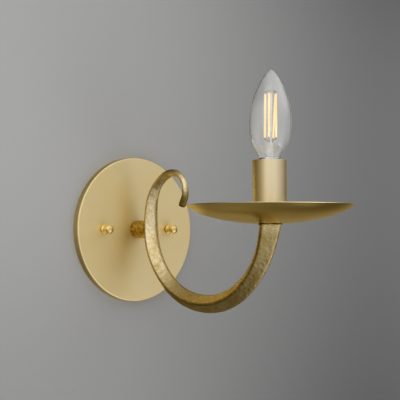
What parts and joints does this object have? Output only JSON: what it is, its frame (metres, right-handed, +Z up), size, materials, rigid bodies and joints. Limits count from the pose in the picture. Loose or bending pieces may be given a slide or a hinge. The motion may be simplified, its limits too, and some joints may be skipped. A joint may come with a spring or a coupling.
{
  "type": "electric candle wall sconce",
  "caption": "Single-arm electric candle wall sconce with a round canopy, a curled square arm, a shallow round dish, a brass candle cover and a candle-shaped filament lamp.",
  "frame": {"origin": "centre of the canopy on the wall plane", "axes": "+X to the right as seen from the room, +Y into the wall, +Z up; the arm lies in the plane x = 0 and reaches out along -Y"},
  "size_m": [0.1396, 0.2538, 0.2079],
  "materials": {
    "satin_brass": "satin brushed and lacquered",
    "hammered_brass": "hand-hammered square bar, dark in the hollows and bright on the worn edges",
    "aged_brass": "aged, slightly rough",
    "polished_brass": "polished",
    "raw_brass": "machined, unlacquered",
    "zinc_steel": "zinc plated",
    "green_screw": "green chromate",
    "copper": "bare copper alloy",
    "phenolic": "moulded phenolic",
    "fibre_liner": "insulating fibre tube",
    "nickel": "bright nickel plate",
    "lamp_black_glass": "glossy insulator",
    "circuit_board": "green solder mask",
    "clear_glass": "clear blown glass",
    "filament": "yellow phosphor coating, faintly lit",
    "wire_black": "extruded insulation",
    "wire_white": "extruded insulation"
  },
  "bodies": {
    "root": {"canopy_backplate": "satin_brass", "mounting_crossbar": "zinc_steel", "canopy_stud_left": "zinc_steel", "canopy_stud_right": "zinc_steel", "stud_locknut_left": "zinc_steel", "stud_locknut_right": "zinc_steel", "cap_nut_left": "polished_brass", "cap_nut_right": "polished_brass", "ground_screw": "green_screw", "ground_wire": "copper", "hub_nipple": "raw_brass", "hub_locknut": "zinc_steel", "hub_lockwasher": "zinc_steel", "hub_stub": "aged_brass", "arm": "hammered_brass", "dish_nipple": "raw_brass", "bobeche_dish": "satin_brass", "dish_washer": "zinc_steel", "dish_locknut": "zinc_steel", "socket_strap": "zinc_steel", "socket_body": "phenolic", "socket_rivet": "zinc_steel", "socket_shell": "raw_brass", "socket_center_contact": "copper", "terminal_screw_line": "raw_brass", "terminal_screw_neutral": "zinc_steel", "line_wire": "wire_black", "neutral_wire": "wire_white"},
    "candle_sleeve": {"candle_cover": "satin_brass", "candle_cover_liner": "fibre_liner"},
    "lamp_thread": {"lamp_foot_contact": "nickel"},
    "lamp": {"lamp_cap": "nickel", "lamp_insulator": "lamp_black_glass", "lamp_driver": "circuit_board", "lamp_glass": "clear_glass", "lamp_stem": "clear_glass", "lamp_filament_1": "filament", "lamp_filament_2": "filament", "lamp_filament_3": "filament", "lamp_filament_4": "filament", "lamp_lead_1": "nickel", "lamp_lead_2": "nickel", "lamp_lead_3": "nickel", "lamp_lead_4": "nickel", "lamp_top_wire_1": "nickel", "lamp_top_wire_2": "nickel"}
  },
  "joints": [
    {"name": "candle_cover_lift", "type": "slide", "parent": "root", "child": "candle_sleeve", "axis": [0, 0, 1], "range_m": [0, 0.008]},
    {"name": "lamp_lift", "type": "slide", "parent": "root", "child": "lamp_thread", "axis": [0, 0, 1], "range_m": [0, 0.01016]},
    {"name": "lamp_turn", "type": "hinge", "parent": "lamp_thread", "child": "lamp", "pos_m": [0, -0.18392, 0.05], "axis": [0, 0, 1], "range_deg": [0, 1440]}
  ],
  "couplings": [
    {"joint": "lamp_turn", "follows": "lamp_lift", "rad_per_m": 2473.7}
  ]
}
